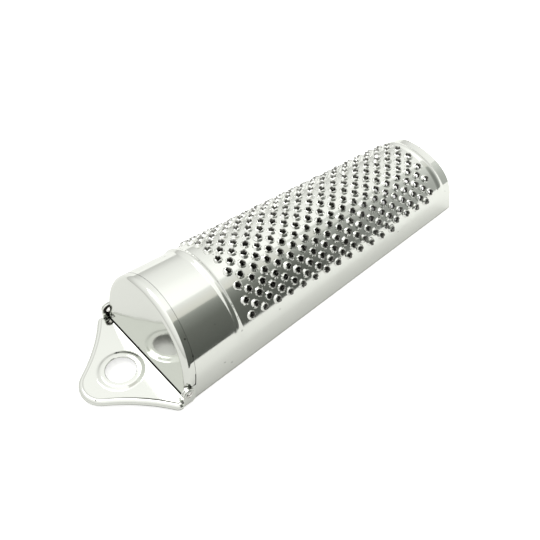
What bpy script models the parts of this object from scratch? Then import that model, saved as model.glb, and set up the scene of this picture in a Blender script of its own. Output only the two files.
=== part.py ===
"""Nutmeg grater with a store for the nut: a tapered half-round rasp rolled from one tinned sheet.

The rasp lies on its flat back, +Z up, and runs along X from the wide store end (-X) to the narrow
open end (+X). A station is the distance of a cross-section from the store end, measured along the
bottom edge. Both ends lean inwards, so the crown is shorter than the bottom edges. The origin is
the middle of the footprint.
"""

from math import atan2, cos, hypot, pi, radians, sin

import bmesh
import bpy
from mathutils import Matrix, Vector
from mathutils.geometry import delaunay_2d_cdt

# Sheet metal, metres
SHEET = 0.0005
FIT = 0.0003
LOOSE_FIT = 0.0004

# Rolled body: outside radii of the half round, and the straight walls under it
BODY_LENGTH = 0.1169
STORE_RADIUS = 0.0200
FAR_RADIUS = 0.0138
WALL_HEIGHT = 0.0079
STORE_LEAN = 0.12
FAR_LEAN = -0.21
LIP_WIDTH = 0.0026
LIP_END = 0.0030

# Beads rolled across the half round; each dies out before the straight walls
STORE_BEAD_AT = 0.0210
STORE_BEAD_HEIGHT = 0.0006
FAR_BEAD_IN = 0.0044
FAR_BEAD_HEIGHT = 0.0005
BEAD_HALF_WIDTH = 0.0016
BEAD_FADE_START = radians(62)
BEAD_FADE_END = radians(86)

# The crown is pressed a little flatter towards the narrow end
FLAT_DEPTH = 0.0009
FLAT_RUN = 0.0110
FLAT_REACH = radians(62)

# Rasp: burrs punched outwards by a four-sided point, in rows that stagger by half a spacing
BURR_START = 0.0264
BURR_SPACING = 0.00488
ROW_SPACING = 0.00234
ROWS_PER_SIDE = 9
BURR_MARGIN = 0.0031
BURR_BASE_RADIUS = 0.00145
BURR_HOLE_RADIUS = 0.00100
BURR_HEIGHT = 0.0009
BURR_SIDES = 4

# Drawn end cap
SHOULDER = 0.0020
SKIRT = 0.0032
COLLAR = 0.0040
COLLAR_BOTTOM = 0.0104
SKIRT_CORNER = 0.0012
SKIRT_SLIT = 0.00025

# Hinge of the flap: its axis runs along Y
HINGE_X = 0.0010
HINGE_Z = 0.0050
HINGE_EYE_RADIUS = 0.0020
EYELET_RADIUS = 0.00125
EYELET_BORE_RADIUS = 0.00095
EYELET_FLANGE_RADIUS = 0.0018
EYELET_FLANGE = 0.0003

# Flap: a shallow tray under the store and a hanging tab in front of it, pressed as one piece
PLATE_DROP = 0.0026
RIM_DEPTH = 0.0014
RIM_BEND = 0.0012
TAB_REACH = 0.0208
NOSE_RADIUS = 0.0074
HOLLOW_RADIUS = 0.0540
EAR_CORNER_RADIUS = 0.0020
EAR_CORNER_RUN = 0.0003
TRAY_CORNER_RADIUS = 0.0024
HANG_HOLE_RADIUS = 0.0045
HANG_HOLE_IN = 0.0129
HANG_RING_RADIUS = 0.0074
HANG_RING_SLOPE = 0.0010
HANG_RING_HEIGHT = 0.00035

# Facets
ARC_STEP = radians(10)
BEND_STEPS = 3
TURN_STEPS = 16
RUN_STEP = 0.0130
LEAN_PASSES = 4

# Sizes that follow
MIDDLE = (BODY_LENGTH - TAB_REACH) / 2
PLATE_TOP = HINGE_Z - PLATE_DROP
CAP_BOTTOM = PLATE_TOP + LOOSE_FIT
CAP_CORNER_IN = SHEET + FIT + EYELET_FLANGE + LOOSE_FIT
HINGE_HOLE_RADIUS = EYELET_RADIUS + FIT
EYE_FRONT = HINGE_X - HINGE_EYE_RADIUS
EYE_TOP = HINGE_Z + HINGE_EYE_RADIUS
TAB_BACK = EYE_FRONT - LOOSE_FIT
EAR_INNER = STORE_RADIUS + LOOSE_FIT
EAR_OUTER = EAR_INNER + SHEET
TRAY_END = STORE_BEAD_AT - SHEET / 2 - LOOSE_FIT
LIP_START = STORE_BEAD_AT + BEAD_HALF_WIDTH
FAR_BEAD_CROWN = BODY_LENGTH - FAR_BEAD_IN + FAR_LEAN * (WALL_HEIGHT + FAR_RADIUS)
BURR_FIELD = FAR_BEAD_CROWN - BEAD_HALF_WIDTH - BURR_BASE_RADIUS - BURR_START
BURR_RINGS = int(BURR_FIELD / (BURR_SPACING / 2)) + 1

parts = bpy.data.collections.new("nutmeg_grater")
cutters = bpy.data.collections.new("cutters")


def start_scene():
    for old in list(bpy.data.objects):
        bpy.data.objects.remove(old, do_unlink=True)
    for collection in (parts, cutters):
        bpy.context.scene.collection.children.link(collection)
    cutters.hide_render = True


def material(name, colour, roughness):
    made = bpy.data.materials.new(name)
    made.use_nodes = True
    shader = made.node_tree.nodes["Principled BSDF"]
    shader.inputs["Base Color"].default_value = (*colour, 1)
    shader.inputs["Roughness"].default_value = roughness
    shader.inputs["Metallic"].default_value = 1.0
    return made


def add_object(name, mesh, collection, origin=Vector((0, 0, 0))):
    mesh.transform(Matrix.Translation(-origin))
    made = bpy.data.objects.new(name, mesh)
    made.location = origin
    collection.objects.link(made)
    if collection is cutters:
        made.hide_render = True
        made.display_type = "WIRE"
    return made


def finish(made, finish_material):
    made.data.materials.append(finish_material)
    made.data.shade_smooth()
    made.data.set_sharp_from_angle(angle=radians(35))


def solidify(made, thickness):
    wall = made.modifiers.new("sheet", "SOLIDIFY")
    wall.thickness = thickness
    wall.offset = -1.0
    wall.use_even_offset = True
    wall.use_quality_normals = True


def boolean(made, operation, other):
    cut = made.modifiers.new(f"{operation.lower()} {other.name}", "BOOLEAN")
    cut.operation = operation
    cut.object = other


# The rolled form: every piece takes its place from these
def radius_at(station):
    return STORE_RADIUS + (FAR_RADIUS - STORE_RADIUS) * station / BODY_LENGTH


def section_point(station, angle, drop=0.0, lift=0.0):
    """A point of the half round at an angle from the crown, or drop below its end on the wall."""
    reach = radius_at(station) + lift
    y = reach * sin(angle)
    z = WALL_HEIGHT + reach * cos(angle) - drop
    return Vector((station - MIDDLE, y, z))


def leaning_station(start, lean, angle, drop=0.0, lift=0.0):
    """Where that point lies on a plane that leans along X by lean for each unit of height."""
    station = start
    for _ in range(LEAN_PASSES):
        station = start + lean * section_point(station, angle, drop, lift).z
    return station


def leaning_point(start, lean, angle, drop=0.0, lift=0.0):
    station = leaning_station(start, lean, angle, drop, lift)
    return section_point(station, angle, drop, lift)


def leaning_line(start, lean, angles):
    """Places on the blank where a leaning plane crosses the half round."""
    stations = [leaning_station(start, lean, angle) for angle in angles]
    return [(at, radius_at(at) * angle) for at, angle in zip(stations, angles)]


def sheet_point(station, girth, lift=0.0):
    """A point of the flat blank once it is rolled; girth is measured from the crown."""
    side = 1 if girth >= 0 else -1
    radius = radius_at(station)
    past = abs(girth) - radius * pi / 2
    if past <= 0:
        return section_point(station, girth / radius, 0.0, lift)
    if past <= WALL_HEIGHT:
        return section_point(station, side * pi / 2, past, lift)
    inward = past - WALL_HEIGHT
    return Vector((station - MIDDLE, side * (radius - inward), -lift))


def wall_girth(station, z):
    return radius_at(station) * pi / 2 + WALL_HEIGHT - z


def arc_angles(first, last, step=ARC_STEP):
    count = max(1, round(abs(last - first) / step))
    return [first + (last - first) * i / count for i in range(count + 1)]


def smooth(share):
    """A share from 0 to 1, eased at both ends."""
    share = min(1.0, max(0.0, share))
    return (1 - cos(pi * share)) / 2


def sheet_lift(station, girth):
    """How far the beads raise the sheet, and the flattening lowers it, at a point of the blank."""
    angle = abs(girth) / radius_at(station)
    z = WALL_HEIGHT + radius_at(station) * cos(angle)
    fade = smooth((BEAD_FADE_END - angle) / (BEAD_FADE_END - BEAD_FADE_START))
    lift = 0.0
    for at, lean, height in BEADS:
        off = abs(station - at - lean * z)
        lift += height * fade * smooth(1 - off / BEAD_HALF_WIDTH)
    to_end = BODY_LENGTH + FAR_LEAN * z - station
    flat = smooth(1 - to_end / FLAT_RUN) * smooth(1 - angle / FLAT_REACH)
    return lift - FLAT_DEPTH * flat


BEADS = [
    (STORE_BEAD_AT, 0.0, STORE_BEAD_HEIGHT),
    (BODY_LENGTH - FAR_BEAD_IN, FAR_LEAN, FAR_BEAD_HEIGHT),
]


class Blank:
    """Flat pattern of a pressing: points with their lift, lines to keep, and holes to punch."""

    def __init__(self):
        self.points = []
        self.lifts = []
        self.lines = []
        self.loops = []

    def add(self, station, girth, lift=0.0):
        self.points.append(Vector((station, girth)))
        self.lifts.append(lift + sheet_lift(station, girth))
        return len(self.points) - 1

    def add_line(self, places):
        made = [self.add(*place) for place in places]
        self.lines.extend(zip(made, made[1:]))
        return made

    def add_loop(self, places):
        """A closed loop, kept anticlockwise so that its inside is on its left."""
        around = zip(places, places[1:] + places[:1])
        area = sum(a[0] * b[1] - b[0] * a[1] for a, b in around)
        ordered = places if area > 0 else places[::-1]
        self.loops.append([self.add(*place) for place in ordered])

    def rolled(self, name):
        """The first loop is the outline and the others are holes."""
        flat = delaunay_2d_cdt(self.points, self.lines, self.loops, 1, 1e-7)
        places, _, faces, sources, _, inside = flat
        mesh = bpy.data.meshes.new(name)
        rolled = []
        for place, source in zip(places, sources):
            lift = self.lifts[source[0]] if source else sheet_lift(*place)
            rolled.append(sheet_point(place.x, place.y, lift))
        kept = [face for face, loops in zip(faces, inside) if set(loops) == {0}]
        mesh.from_pydata(rolled, [], kept)
        shape = bmesh.new()
        shape.from_mesh(mesh)
        loose = [vert for vert in shape.verts if not vert.link_faces]
        bmesh.ops.delete(shape, geom=loose, context="VERTS")
        shape.to_mesh(mesh)
        shape.free()
        return mesh


def near_edge():
    """The blank's edge at the store end, from the crown to the bottom of the +Y wall."""
    mouth = SKIRT + FIT
    places = leaning_line(mouth, STORE_LEAN, arc_angles(0, pi / 2))
    corner = [(mouth + STORE_LEAN * EYE_TOP, EYE_TOP)]
    eye = [
        (HINGE_X + HINGE_EYE_RADIUS * cos(a), HINGE_Z + HINGE_EYE_RADIUS * sin(a))
        for a in arc_angles(pi / 2, pi, 2 * ARC_STEP)
    ]
    foot = [(EYE_FRONT, HINGE_EYE_RADIUS / 2), (HINGE_X - HINGE_EYE_RADIUS / 2, 0.0)]
    return places + [(x, wall_girth(x, z)) for x, z in corner + eye + foot]


def bottom_edge():
    """The blank's edge along the bottom of the +Y wall, with the lip that is turned in."""
    lip_end = BODY_LENGTH - LIP_END
    lip = [
        (LIP_START, 0.0),
        (LIP_START + LIP_WIDTH, -LIP_WIDTH),
        (lip_end - LIP_WIDTH, -LIP_WIDTH),
        (lip_end, 0.0),
        (BODY_LENGTH, 0.0),
    ]
    return [(station, wall_girth(station, z)) for station, z in lip]


def far_edge():
    return leaning_line(BODY_LENGTH, FAR_LEAN, arc_angles(pi / 2, 0))


def both_sides(half):
    """A half loop that starts and ends on the crown, closed by its mirror image."""
    return half + [(station, -girth) for station, girth in reversed(half[1:-1])]


def circle(x, z, radius, steps=TURN_STEPS):
    turn = 2 * pi / steps
    return [(x + radius * cos(turn * i), z + radius * sin(turn * i)) for i in range(steps)]


def add_burr(blank, station, girth):
    """A ring of the sheet drawn up round a hole whose torn edge stands highest."""
    foot = blank.add_line(circle(station, girth, BURR_BASE_RADIUS, BURR_SIDES))
    blank.lines.append((foot[-1], foot[0]))
    tip = circle(station, girth, BURR_HOLE_RADIUS, BURR_SIDES)
    blank.add_loop([(x, g, BURR_HEIGHT) for x, g in tip])


def add_rasp(blank):
    for row in range(-ROWS_PER_SIDE, ROWS_PER_SIDE + 1):
        girth = row * ROW_SPACING
        first = (row + ROWS_PER_SIDE) % 2
        for ring in range(first, BURR_RINGS, 2):
            station = BURR_START + ring * BURR_SPACING / 2
            if abs(girth) < radius_at(station) * pi / 2 - BURR_MARGIN:
                add_burr(blank, station, girth)


def body_blank():
    blank = Blank()
    blank.add_loop(both_sides(near_edge() + bottom_edge() + far_edge()))
    for side in (1, -1):
        eye_hole = circle(HINGE_X, HINGE_Z, HINGE_HOLE_RADIUS)
        blank.add_loop([(x, side * wall_girth(x, z)) for x, z in eye_hole])
    angles = arc_angles(-pi / 2, pi / 2)
    across = [leaning_line(SKIRT + FIT, STORE_LEAN, angles)]
    for at, lean, _ in BEADS:
        for step in (-1, -0.5, 0, 0.5, 1):
            line = leaning_line(at + BEAD_HALF_WIDTH * step, lean, angles)
            blank.add_line(line)
            across.append(line)
    across.append(leaning_line(BODY_LENGTH, FAR_LEAN, angles))
    store, far = across[: len(across) // 2], across[len(across) // 2 :]
    for lines in (store, far):
        for ruling in zip(*lines):
            blank.add_line(ruling)
    for side in (1, -1):
        run = BODY_LENGTH - LIP_END - LIP_START
        count = round(run / RUN_STEP)
        bend = [LIP_START + run * i / count for i in range(count + 1)]
        blank.add_line([(station, side * wall_girth(station, 0.0)) for station in bend])
        blank.add_line([(station, side * radius_at(station) * pi / 2) for station in bend])
    add_rasp(blank)
    return blank


def grater_body():
    mesh = body_blank().rolled("grater_body")
    made = add_object("grater_body", mesh, parts)
    turn_outward(made, Vector((0, 0, WALL_HEIGHT)))
    solidify(made, SHEET)
    return made


def turn_outward(made, inside_point):
    """Faces of an open pressing point away from a point inside it."""
    shape = bmesh.new()
    shape.from_mesh(made.data)
    bmesh.ops.recalc_face_normals(shape, faces=shape.faces)
    inside = Vector(inside_point) - made.location
    outward = sum(
        face.calc_area() * face.normal.dot(face.calc_center_median() - inside)
        for face in shape.faces
    )
    if outward < 0:
        bmesh.ops.reverse_faces(shape, faces=shape.faces)
    shape.to_mesh(made.data)
    shape.free()


def pressing(name, rings, collection, inside_point, origin=Vector((0, 0, 0))):
    """A pressed sheet: the first ring closes as its flat face, and the rest are its turned rim."""
    shape = bmesh.new()
    verts = [[shape.verts.new(point) for point in ring] for ring in rings]
    shape.faces.new(verts[0])
    for inner, outer in zip(verts, verts[1:]):
        for i in range(len(inner) - 1):
            shape.faces.new((inner[i], outer[i], outer[i + 1], inner[i + 1]))
    mesh = bpy.data.meshes.new(name)
    shape.to_mesh(mesh)
    shape.free()
    made = add_object(name, mesh, collection, origin)
    turn_outward(made, inside_point)
    solidify(made, SHEET)
    return made


def end_cap():
    bend = arc_angles(0, pi / 2, pi / 2 / BEND_STEPS)
    turns = [(SHOULDER * (1 - cos(a)), SHOULDER * (1 - sin(a))) for a in bend]
    steps = [(SKIRT, 0.0), (SKIRT, SHEET + FIT), (SKIRT + COLLAR, SHEET + FIT)]
    drop = WALL_HEIGHT - CAP_BOTTOM
    path = [(-pi / 2, drop)] + [(a, 0.0) for a in arc_angles(-pi / 2, pi / 2)] + [(pi / 2, drop)]
    rings = [
        [leaning_point(start, STORE_LEAN, angle, below, -inset) for angle, below in path]
        for start, inset in turns + steps
    ]
    inside = (SKIRT + COLLAR - MIDDLE, 0, WALL_HEIGHT)
    made = pressing("end_cap", rings, parts, inside)
    for side, word in ((1, "left"), (-1, "right")):
        boolean(made, "DIFFERENCE", cap_corner_cutter(side, word))
    return made


def cap_corner_cutter(side, word):
    """Clears the cap's lower corner for the hinge, and rounds the end of the skirt."""
    skirt_bottom = EYE_TOP + FIT
    skirt_end = SKIRT - SKIRT_SLIT
    rounding = [
        (
            skirt_end - SKIRT_CORNER * (1 - cos(a)),
            skirt_bottom + SKIRT_CORNER * (1 - sin(a)),
        )
        for a in arc_angles(0, pi / 2, 2 * ARC_STEP)
    ]
    behind = SKIRT + 2 * COLLAR
    ahead = -SKIRT
    outline = [(ahead, 0.0), (behind, 0.0), (behind, COLLAR_BOTTOM), (skirt_end, COLLAR_BOTTOM)]
    outline += rounding + [(ahead, skirt_bottom)]
    inner = side * (STORE_RADIUS - CAP_CORNER_IN)
    outer = side * (STORE_RADIUS + SHOULDER)
    shape = bmesh.new()
    walls = []
    for y in (inner, outer):
        ring = [shape.verts.new((x + STORE_LEAN * z - MIDDLE, y, z)) for x, z in outline]
        walls.append(ring)
        shape.faces.new(ring)
    for i in range(len(outline)):
        j = (i + 1) % len(outline)
        shape.faces.new((walls[0][i], walls[0][j], walls[1][j], walls[1][i]))
    bmesh.ops.recalc_face_normals(shape, faces=shape.faces)
    mesh = bpy.data.meshes.new(f"cap_corner_{word}")
    shape.to_mesh(mesh)
    shape.free()
    return add_object(f"cap_corner_{word}", mesh, cutters)


def store_bulkhead():
    """A half disc whose rim sits in the groove behind the store bead."""
    front = STORE_BEAD_AT - SHEET / 2
    inset = SHEET + FIT
    drop = WALL_HEIGHT - FIT
    path = [(-pi / 2, drop)] + [(a, 0.0) for a in arc_angles(-pi / 2, pi / 2)] + [(pi / 2, drop)]
    ring = []
    for angle, below in path:
        groove = sheet_lift(STORE_BEAD_AT, radius_at(STORE_BEAD_AT) * angle)
        ring.append(section_point(front, angle, below, groove - inset))
    return pressing("store_bulkhead", [ring], parts, (BODY_LENGTH - MIDDLE, 0, WALL_HEIGHT))


def hinge_eyelet(side, word):
    """A hollow rivet through the flap's ear and the body's eye, flanged over at both ends."""
    inner = STORE_RADIUS - SHEET - FIT
    outer = EAR_OUTER + FIT
    profile = [
        (EYELET_FLANGE_RADIUS, outer + EYELET_FLANGE),
        (EYELET_FLANGE_RADIUS, outer),
        (EYELET_RADIUS, outer),
        (EYELET_RADIUS, inner),
        (EYELET_FLANGE_RADIUS, inner),
        (EYELET_FLANGE_RADIUS, inner - EYELET_FLANGE),
        (EYELET_BORE_RADIUS, inner - EYELET_FLANGE),
        (EYELET_BORE_RADIUS, outer + EYELET_FLANGE),
    ]
    made = turned(f"hinge_eyelet_{word}", profile, parts)
    made.location = (HINGE_X - MIDDLE, 0, HINGE_Z)
    made.rotation_euler = (-side * pi / 2, 0, 0)
    return made


def turned(name, profile, collection):
    """A closed profile of (radius, height) turned round Z."""
    mesh = bpy.data.meshes.new(name)
    count = len(profile)
    edges = [(i, (i + 1) % count) for i in range(count)]
    mesh.from_pydata([(radius, 0, height) for radius, height in profile], edges, [])
    made = add_object(name, mesh, collection)
    screw = made.modifiers.new("turn", "SCREW")
    screw.steps = TURN_STEPS
    screw.render_steps = TURN_STEPS
    screw.use_merge_vertices = True
    screw.merge_threshold = 0.00001
    return made


def tangent_centre(nose, ear):
    """Centre of the hollow arc that touches the nose and the ear corner from outside."""
    to_nose = NOSE_RADIUS + HOLLOW_RADIUS
    to_ear = EAR_CORNER_RADIUS + HOLLOW_RADIUS
    gap = ear - nose
    apart = hypot(gap.x, gap.y)
    along = (to_nose**2 - to_ear**2 + apart**2) / (2 * apart)
    aside = (to_nose**2 - along**2) ** 0.5
    unit = gap / apart
    return nose + along * unit + aside * Vector((-unit.y, unit.x))


def arc_points(centre, radius, first, last, step=ARC_STEP):
    return [
        centre + radius * Vector((cos(a), sin(a))) for a in arc_angles(first, last, step)
    ]


def tab_outline(inset):
    """The tab's edge from the +Y ear round the nose to the -Y ear, drawn in by inset."""
    nose = Vector((NOSE_RADIUS - TAB_REACH, 0))
    ear = Vector((TAB_BACK - EAR_CORNER_RUN, EAR_OUTER - EAR_CORNER_RADIUS))
    hollow = tangent_centre(nose, ear)
    at_ear = atan2(hollow.y - ear.y, hollow.x - ear.x)
    at_nose = atan2(hollow.y - nose.y, hollow.x - nose.x)
    half = [Vector((TAB_BACK, EAR_OUTER - inset))]
    half += arc_points(ear, EAR_CORNER_RADIUS - inset, pi / 2, at_ear, 2 * ARC_STEP)
    bowed = arc_points(hollow, HOLLOW_RADIUS + inset, at_ear - pi, at_nose - pi, ARC_STEP / 2)
    half += bowed[1:-1]
    half += arc_points(nose, NOSE_RADIUS - inset, at_nose, pi, 1.5 * ARC_STEP)
    return half + [Vector((point.x, -point.y)) for point in reversed(half[:-1])]


def tray_outline(inset):
    """The tray's edge inside the store, from the tab along +Y, round the back and home."""
    wall_gap = SHEET + LOOSE_FIT

    def half_width(station):
        return radius_at(station) - wall_gap - inset

    corner_x = TRAY_END - TRAY_CORNER_RADIUS
    corner_y = half_width(TRAY_END) + inset - TRAY_CORNER_RADIUS
    half = [Vector((TAB_BACK - SHEET * 2, half_width(0.0)))]
    half += [Vector((0.0, half_width(0.0)))]
    centre = Vector((corner_x, corner_y))
    half += arc_points(centre, TRAY_CORNER_RADIUS - inset, pi / 2, 0, 2 * ARC_STEP)
    return half + [Vector((point.x, -point.y)) for point in reversed(half)]


def rim_rings(outline):
    """The rings of a plate whose edge is bent down: flat plate, bend, and straight rim."""
    bend = arc_angles(0, pi / 2, pi / 2 / BEND_STEPS)
    steps = [(RIM_BEND * (1 - sin(a)), RIM_BEND * (1 - cos(a))) for a in bend]
    steps.append((0.0, RIM_DEPTH))
    return [
        [Vector((p.x - MIDDLE, p.y, PLATE_TOP - down)) for p in outline(inset)]
        for inset, down in steps
    ]


def store_flap():
    """Tab, tray and ears are one pressing that turns on the eyelets."""
    pivot = Vector((HINGE_X - MIDDLE, 0, HINGE_Z))
    below = (0, 0, -BODY_LENGTH)
    flap = pressing("store_flap", rim_rings(tab_outline), parts, below, pivot)
    tray = pressing("flap_tray", rim_rings(tray_outline), cutters, below)
    boolean(flap, "UNION", tray)
    for side, word in ((1, "left"), (-1, "right")):
        boolean(flap, "UNION", flap_ear(side, word))
    boolean(flap, "DIFFERENCE", hang_hole_cutter())
    boolean(flap, "UNION", hang_ring())
    return flap


def flap_ear(side, word):
    """An upright ear outside the body's wall, with the hole for the eyelet."""
    rim_bottom = PLATE_TOP - RIM_DEPTH
    behind = HINGE_X + HINGE_EYE_RADIUS
    rounded = HINGE_EYE_RADIUS / 2
    outline = [
        (TAB_BACK - 2 * SHEET, rim_bottom),
        (behind - rounded, rim_bottom),
        (behind, rim_bottom + rounded),
    ]
    outline += [
        (HINGE_X + HINGE_EYE_RADIUS * cos(a), HINGE_Z + HINGE_EYE_RADIUS * sin(a))
        for a in arc_angles(0, pi, 2 * ARC_STEP)
    ]
    outline += [(EYE_FRONT, PLATE_TOP - RIM_BEND / 2), (TAB_BACK - 2 * SHEET, PLATE_TOP - RIM_BEND)]
    curve = bpy.data.curves.new(f"flap_ear_{word}", "CURVE")
    curve.dimensions = "2D"
    curve.fill_mode = "BOTH"
    curve.extrude = SHEET / 2
    for points in (outline, circle(HINGE_X, HINGE_Z, HINGE_HOLE_RADIUS)):
        spline = curve.splines.new("POLY")
        spline.points.add(len(points) - 1)
        for point, (x, z) in zip(spline.points, points):
            point.co = (x, z, 0, 1)
        spline.use_cyclic_u = True
    return mesh_of_curve(curve, Vector((-MIDDLE, side * (EAR_INNER + SHEET / 2), 0)))


def mesh_of_curve(curve, location):
    """A flat curve drawn in X and Z, stood upright and made a closed mesh."""
    drawn = bpy.data.objects.new(curve.name, curve)
    drawn.location = location
    drawn.rotation_euler = (pi / 2, 0, 0)
    cutters.objects.link(drawn)
    bpy.context.view_layer.update()
    graph = bpy.context.evaluated_depsgraph_get()
    mesh = bpy.data.meshes.new_from_object(drawn.evaluated_get(graph))
    shape = bmesh.new()
    shape.from_mesh(mesh)
    bmesh.ops.remove_doubles(shape, verts=shape.verts, dist=0.000001)
    shape.to_mesh(mesh)
    shape.free()
    made = bpy.data.objects.new(curve.name, mesh)
    made.matrix_world = drawn.matrix_world
    made.hide_render = True
    made.display_type = "WIRE"
    bpy.data.objects.remove(drawn)
    cutters.objects.link(made)
    return made


def hang_hole_cutter():
    bpy.ops.mesh.primitive_cylinder_add(
        vertices=2 * TURN_STEPS,
        radius=HANG_RING_RADIUS - SHEET / 2,
        depth=4 * RIM_DEPTH,
        location=(HANG_HOLE_IN - TAB_REACH - MIDDLE, 0, PLATE_TOP),
    )
    made = bpy.context.object
    made.name = "hang_hole_cutter"
    for collection in made.users_collection:
        collection.objects.unlink(made)
    cutters.objects.link(made)
    made.hide_render = True
    made.display_type = "WIRE"
    return made


def hang_ring():
    """The raised ring pressed round the hanging hole."""
    low = PLATE_TOP
    high = PLATE_TOP + HANG_RING_HEIGHT
    foot = HANG_RING_RADIUS - SHEET / 2
    crest = foot - HANG_RING_SLOPE
    under = SHEET / 3
    profile = [
        (HANG_HOLE_RADIUS, high),
        (crest, high),
        (foot, low),
        (HANG_RING_RADIUS, low),
        (HANG_RING_RADIUS, low - SHEET),
        (foot - under, low - SHEET),
        (crest - under, high - SHEET),
        (HANG_HOLE_RADIUS, high - SHEET),
    ]
    made = turned("hang_ring", profile, cutters)
    made.modifiers["turn"].steps = 2 * TURN_STEPS
    made.modifiers["turn"].render_steps = 2 * TURN_STEPS
    made.location = (HANG_HOLE_IN - TAB_REACH - MIDDLE, 0, 0)
    return made


start_scene()
polished = material("polished_tinplate", (0.80, 0.81, 0.79), 0.12)
rolled_tin = material("rolled_tinplate", (0.78, 0.79, 0.77), 0.18)
eyelet_metal = material("eyelet_steel", (0.34, 0.34, 0.35), 0.25)
finish(grater_body(), rolled_tin)
finish(end_cap(), polished)
finish(store_bulkhead(), rolled_tin)
finish(store_flap(), polished)
for eyelet_side, eyelet_word in ((1, "left"), (-1, "right")):
    finish(hinge_eyelet(eyelet_side, eyelet_word), eyelet_metal)
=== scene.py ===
"""Looks of the nutmeg grater: bright tinned sheet on a white table, with a dark card beside it."""
from math import atan2, cos, hypot, pi, radians, sin

import bmesh
import bpy
import numpy as np
from mathutils import Matrix, Vector
from mathutils.geometry import delaunay_2d_cdt


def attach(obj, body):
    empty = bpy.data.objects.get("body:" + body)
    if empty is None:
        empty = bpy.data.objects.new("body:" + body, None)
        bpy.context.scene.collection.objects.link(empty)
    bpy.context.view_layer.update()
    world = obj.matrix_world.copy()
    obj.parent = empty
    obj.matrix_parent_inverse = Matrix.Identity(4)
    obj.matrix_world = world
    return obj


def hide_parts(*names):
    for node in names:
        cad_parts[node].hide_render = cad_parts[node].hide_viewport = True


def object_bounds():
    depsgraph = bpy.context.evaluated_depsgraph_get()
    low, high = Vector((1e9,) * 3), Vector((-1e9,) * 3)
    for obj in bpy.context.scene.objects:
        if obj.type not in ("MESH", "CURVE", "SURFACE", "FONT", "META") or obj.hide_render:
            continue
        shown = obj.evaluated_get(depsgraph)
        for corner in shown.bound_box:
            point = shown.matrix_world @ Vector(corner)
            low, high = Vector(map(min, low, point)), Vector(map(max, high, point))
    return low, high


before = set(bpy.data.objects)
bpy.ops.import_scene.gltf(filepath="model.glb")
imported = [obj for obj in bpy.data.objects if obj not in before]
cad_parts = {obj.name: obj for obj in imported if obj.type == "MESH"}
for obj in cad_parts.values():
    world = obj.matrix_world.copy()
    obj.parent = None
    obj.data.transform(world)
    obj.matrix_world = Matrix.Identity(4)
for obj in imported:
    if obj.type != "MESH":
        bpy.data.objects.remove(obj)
cad_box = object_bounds()

# Rasp sheet
# One piece of tinned sheet, punched flat and rolled to a tapered half round on straight walls.
# Its bottom edges are turned in as lips, and two beads are rolled across it.
SHEET = 0.0005
FIT = 0.0003
LOOSE_FIT = 0.0004
LENGTH = 0.1169
TAB_REACH = 0.0208
MIDDLE = (LENGTH - TAB_REACH) / 2
STORE_RADIUS = 0.0200
FAR_RADIUS = 0.0138
TAPER = (FAR_RADIUS - STORE_RADIUS) / LENGTH
WALL = 0.0079
STORE_LEAN = 0.12
FAR_LEAN = -0.21
FLAT_DEPTH = 0.0009
FLAT_RUN = 0.0110
FLAT_REACH = radians(62)
LIP_BEND = 0.0006
LIP_WIDTH = 0.0026
LIP_END = 0.0030
SKIRT = 0.0032
SEAM = 0.0001
MOUTH_CORNER = 0.0060
HINGE_X = 0.0010
HINGE_Z = 0.0050
EYE_RADIUS = 0.0020
EYE_HOLE = 0.00155
BEADS = ((0.0210, 0.0, 0.0006), (LENGTH - 0.0044, FAR_LEAN, 0.0005))
BEAD_HALF = 0.0016
BEAD_FADE_END = radians(86)
BEAD_FADE_SPAN = radians(24)
FIRST_RING = 0.0264
HALF_SPACING = 0.00244
RINGS = 33
ROW_SPACING = 0.00234
ROWS = 19
RASP_MARGIN = 0.0031
PUNCH_RADIUS = 0.00134
HOLE_CLEAR = 0.0003
LOOSE_END = 0.1075


def smooth(share):
    share = np.clip(share, 0, 1)
    return (1 - np.cos(pi * share)) / 2


def bead_fade(angle):
    """The share of a bead's height at an angle from the crown; the beads run out above the walls."""
    return smooth((BEAD_FADE_END - angle) / BEAD_FADE_SPAN)


def rolled(station, girth):
    """Points of the sheet's outer skin for places on the flat blank; girth starts at the crown."""
    station, girth = np.asarray(station, float), np.asarray(girth, float)
    radius = STORE_RADIUS + TAPER * station
    side = np.where(girth < 0, -1.0, 1.0)
    along = np.abs(girth)
    angle = np.minimum(along / radius, pi / 2)
    down = np.clip(along - radius * pi / 2, 0, WALL - LIP_BEND)
    bend = np.clip((along - radius * pi / 2 - WALL + LIP_BEND) / LIP_BEND, 0, pi / 2)
    inward = np.maximum(along - radius * pi / 2 - WALL + LIP_BEND - LIP_BEND * pi / 2, 0)
    height = WALL + radius * np.cos(angle)
    lift = np.zeros_like(station)
    for at, lean, high in BEADS:
        off = np.abs(station - at - lean * height)
        lift += high * bead_fade(angle) * smooth(1 - off / BEAD_HALF)
    to_end = LENGTH + FAR_LEAN * height - station
    lift -= FLAT_DEPTH * smooth(1 - to_end / FLAT_RUN) * smooth(1 - angle / FLAT_REACH)
    y = (radius + lift) * np.sin(angle) - LIP_BEND * (1 - np.cos(bend)) - inward
    z = WALL + (radius + lift) * np.cos(angle) - down - LIP_BEND * np.sin(bend)
    return np.stack([station - MIDDLE, side * y, z], -1)


def outward(station, girth):
    step = 1e-5
    along = rolled(station + step, girth) - rolled(station - step, girth)
    across = rolled(station, girth + step) - rolled(station, girth - step)
    normal = np.cross(along, across)
    return normal / np.linalg.norm(normal, axis=-1, keepdims=True)


def leaning(start, lean, angles):
    """Places on the blank where a plane that leans along X crosses the half round."""
    angles = np.asarray(angles, float)
    station = np.full_like(angles, start)
    for _ in range(5):
        station = start + lean * (WALL + (STORE_RADIUS + TAPER * station) * np.cos(angles))
    return list(zip(station, (STORE_RADIUS + TAPER * station) * angles))


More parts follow.
